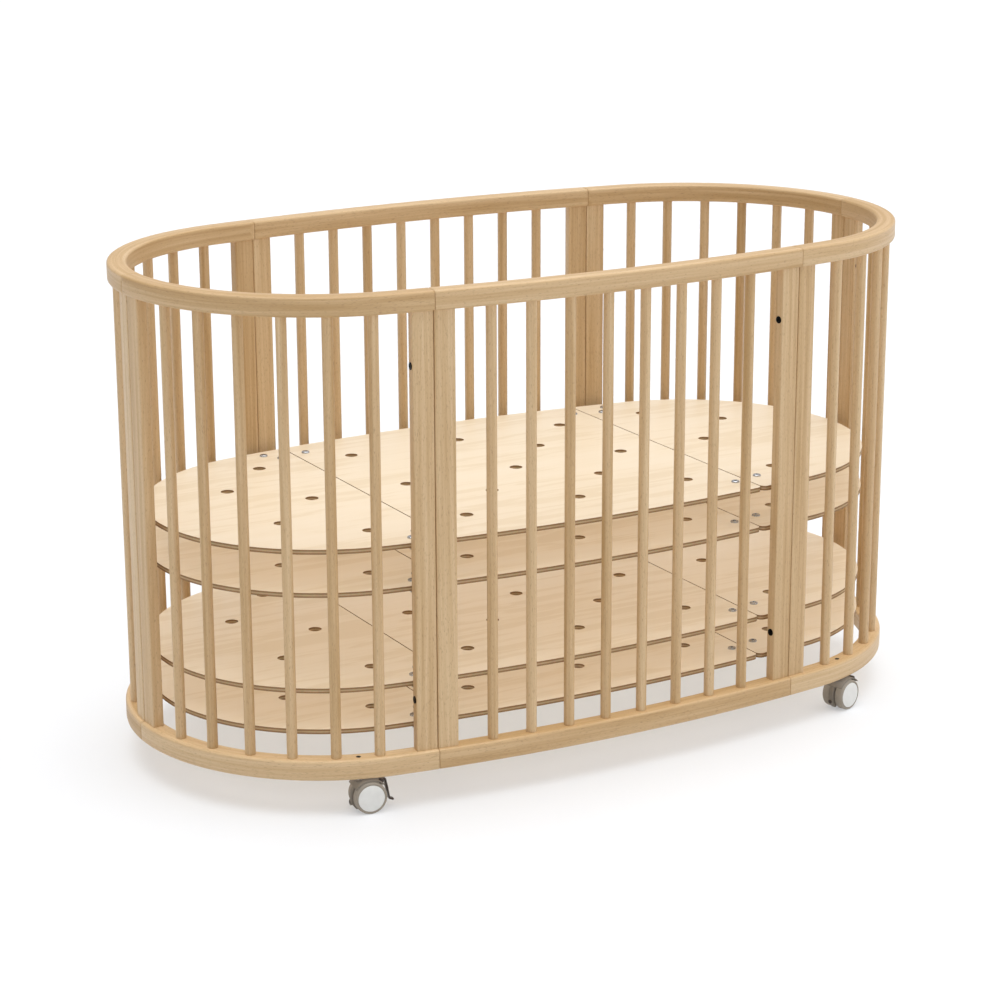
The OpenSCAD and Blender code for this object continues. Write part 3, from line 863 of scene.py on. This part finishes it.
def turned(name, sides, radius, length, rounding, axis, centre):
    # a round boss with both edges eased, laid along an axis
    piece = cylinder(name, sides, radius, -length / 2, length / 2)
    roundEdges(piece, rounding, 2)
    if axis != "Z":
        piece.data.transform(Matrix.Rotation(math.pi / 2, 4, "Y" if axis == "X" else "X"))
    piece.data.transform(Matrix.Translation(centre))
    return piece


housing = {
    # sides, radius, length, rounding, axis and centre
    "neck": (32, 0.0055, 0.0275, 0.0004, "Z", (0, 0, 0.0419)),
    "flange": (40, 0.010, 0.0023, 0.0006, "Z", (0, 0, 0.05465)),
    "boss": (28, 0.0052, 0.004, 0.0007, "X", (-0.0136, 0, 0.0172)),
    "hub": (32, 0.0078, caster["web"], 0.0008, "Y", axlePoint),
    "ear_a": (20, 0.0042, 0.007, 0.0012, "Y", (0.033, -0.0097, 0.0502)),
    "ear_b": (20, 0.0042, 0.007, 0.0012, "Y", (0.033, 0.0097, 0.0502)),
    "rivet": (20, 0.0034, 0.0012, 0.0004, "X", (-0.0158, 0, 0.0172)),
    "slots": ((0.0006, 0.0007, 0.0044), (0.0006, 0.0044, 0.0007)),  # the cross cut in the rivet
    "slotSpot": (-0.0164, 0, 0.0172),
}


def makeHousing():
    grey = [makeWeb(), makeHood()]
    grey += [turned(name, *housing[name]) for name in ("neck", "flange", "boss", "hub")]
    brown = [turned(name, *housing[name]) for name in ("ear_a", "ear_b", "rivet")]
    for size in housing["slots"]:
        deselectAll()
        bpy.ops.mesh.primitive_cube_add(size=1, location=housing["slotSpot"])
        cutAway(brown[-1], made("slot", size))
    for part in grey:
        coat(part, housingPlastic, brakePlastic)
    for part in brown:
        coat(part, brakePlastic)
    return joined(grey + brown, "housing")


pedal = {
    "points": [(0.0424, 0.0492), (0.0447, 0.0372), (0.0488, 0.0158), (0.0559, 0.0131)],
    "pivot": (0.035, 0.048),
    "widths": [0.0104, 0.0118, 0.0106, 0.0086],
    "thickness": 0.003,
    "barrel": (0.0028, 0.0116, 0.0005),  # radius, length and easing
}


def makePedal():
    # a bent leaf, wider in its middle, on a barrel that turns on the housing's pin
    x, z = pedal["pivot"]
    last, width = Vector((x + 0.0005, 0, z)), pedal["widths"][0]
    deselectAll()
    bpy.ops.mesh.primitive_plane_add(size=1, location=(x, 0, z))
    piece = made("pedal", (0.001, width, 1))
    pick(piece, "VERT", lambda co: co.x < x)
    bpy.ops.mesh.delete(type="VERT")
    bpy.ops.mesh.select_all(action="SELECT")
    for (nextX, nextZ), nextWidth in zip(pedal["points"], pedal["widths"]):
        reached = Vector((nextX, 0, nextZ))
        bpy.ops.mesh.extrude_region_move(TRANSFORM_OT_translate={"value": reached - last})
        bpy.ops.transform.resize(value=(1, nextWidth / width, 1))
        last, width = reached, nextWidth
    leave()
    thicken(piece, pedal["thickness"])
    recalculate(piece)
    roundEdges(piece, 0.0007, 2, 50)
    radius, length, easing = pedal["barrel"]
    return joined([piece, turned("barrel", 24, radius, length, easing, "Y", (x, 0, z))], "pedal")


housingModel, pedalModel = makeHousing(), makePedal()
coat(pedalModel, brakePlastic)
wheelModels = {"a": makeWheel(-1), "b": makeWheel(1)}
for name, spot in casterSpots.items():
    heading = math.radians(caster["turns"][name])
    pieces = [(housingModel, "housing", f"{name}_caster", "caster_housing"),
              (pedalModel, "pedal", f"{name}_brake", "brake")]
    for letter, model in wheelModels.items():
        pieces.append((model, f"wheel_{letter}", f"{name}_wheel_{letter}", "wheel"))
    for model, part, body, slot in pieces:
        piece = copyOf(model, f"{name}_{part}_moulded")
        moveTo(piece, spot, heading)
        smooth(piece, 35)
        install(piece, body, f"{name}_{part}")
for model in [housingModel, pedalModel, *wheelModels.values()]:
    bpy.data.objects.remove(model)
print("casters made")


# floor, light and camera
studio = {
    "floor": ("#DEE0E3", "#E0E2E5"),  # its two tones
    "floorSize": 60,
    "world": (0.42, 0.8),  # brightness to the left and to the right
    "fill": (2.3, 60),  # strength and spread of the shadowless light from above, for the lower bases
    "overhead": (0.35, 70),  # the same for the light from above that casts the soft shadow
    "right": (12, 2.4, (2.6, -3.0, 2.2)),  # power, size and spot of the box to the right
    "aim": (0, 0, 0.4),  # what that box points at
}
view = {
    "spot": (-2.1589, -3.8159, 1.635),
    "yaw": math.radians(29.14),
    "pitch": math.radians(16.15),
    "roll": math.radians(-0.2),
    "lens": 95.76,
    "sensor": 36,
}


def floorMaterial():
    # rolled matt paint: almost even, with a stipple of about 5 mm and no gloss
    material, tree, shader = newMaterial("floorMattPaint")
    spot = addNode(tree, "ShaderNodeTexCoord").outputs["Object"]
    rolled = addNode(tree, "ShaderNodeTexNoise", links={"Vector": spot, "Scale": 200, "Detail": 2})
    tones = [linear(code) for code in studio["floor"]]
    paint = addNode(tree, "ShaderNodeMix", {"data_type": "RGBA"},
                    {0: rolled.outputs["Fac"], 6: tones[0], 7: tones[1]})
    tree.links.new(paint.outputs[2], shader.inputs["Base Color"])
    shader.inputs["Roughness"].default_value = 0.9
    return material


deselectAll()
bpy.ops.mesh.primitive_plane_add(size=studio["floorSize"])
floor = made("floor", (1, 1, 1))
coat(floor, floorMaterial())

world = bpy.data.worlds.new("studio")
bpy.context.scene.world = world
world.use_nodes = True
skyTree = world.node_tree
background = skyTree.nodes["Background"]
direction = addNode(skyTree, "ShaderNodeTexCoord").outputs["Generated"]
across = addNode(skyTree, "ShaderNodeSeparateXYZ", links={"Vector": direction}).outputs["X"]
brightness = addNode(skyTree, "ShaderNodeMapRange",
                     links={"Value": across, "From Min": -1, "From Max": 1,
                            "To Min": studio["world"][0], "To Max": studio["world"][1]})
background.inputs["Color"].default_value = (1, 1, 1, 1)
skyTree.links.new(brightness.outputs[0], background.inputs["Strength"])


def overhead(name, strength, spread, shadows):
    bpy.ops.object.light_add(type="SUN", location=(0, 0, 4))
    lamp = bpy.context.active_object
    lamp.name = name
    lamp.data.energy = strength
    lamp.data.angle = math.radians(spread)
    lamp.data.use_shadow = shadows


overhead("overheadFill", *studio["fill"], False)
overhead("overheadLight", *studio["overhead"], True)

power, size, spot = studio["right"]
bpy.ops.object.light_add(type="AREA", location=spot)
softbox = bpy.context.active_object
softbox.name = "rightSoftbox"
softbox.data.energy = power
softbox.data.size = size
softbox.rotation_euler = (Vector(studio["aim"]) - Vector(spot)).to_track_quat("-Z", "Y").to_euler()

bpy.ops.object.camera_add(location=view["spot"])
camera = bpy.context.active_object
level = math.cos(view["pitch"])
ahead = Vector((math.sin(view["yaw"]) * level, math.cos(view["yaw"]) * level, -math.sin(view["pitch"])))
upright = ahead.to_track_quat("-Z", "Y").to_matrix()
camera.rotation_euler = (upright @ Matrix.Rotation(view["roll"], 3, "Z")).to_euler()
camera.data.lens = view["lens"]
camera.data.sensor_width = view["sensor"]
bpy.context.scene.camera = camera
bpy.context.scene.view_settings.view_transform = "Standard"
print("studio set")
